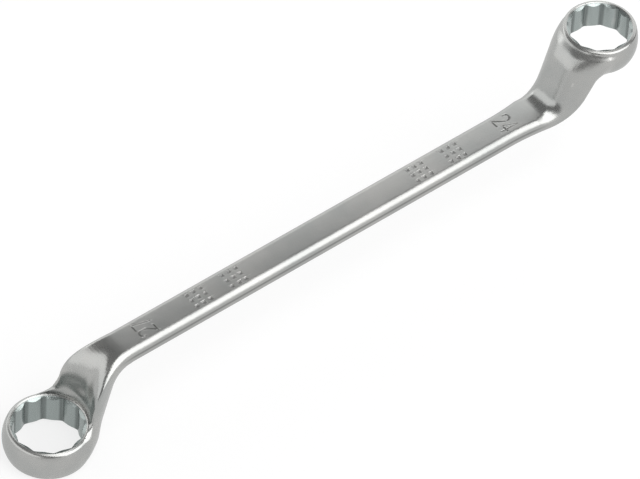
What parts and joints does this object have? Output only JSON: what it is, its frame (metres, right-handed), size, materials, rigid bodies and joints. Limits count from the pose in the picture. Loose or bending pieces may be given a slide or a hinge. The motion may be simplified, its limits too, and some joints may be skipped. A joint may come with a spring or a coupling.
{
  "type": "ring spanner",
  "caption": "Deep-offset ring spanner: a flat forged shank cranked at both ends into multi-point rings, the large one below the shank and the small one above it.",
  "frame": {"origin": "centre of the spanner's bounding box, on the vertical plane that halves the shank", "axes": "+X along the shank towards the small ring, +Y across the shank, +Z along both socket axes, from the large ring's side towards the small ring's side"},
  "size_m": [0.3294, 0.0384, 0.07],
  "materials": {
    "satin_chrome": "satin chrome plate on drop-forged alloy steel"
  },
  "bodies": {
    "root": {"ring_spanner_forging": "satin_chrome"}
  },
  "joints": []
}
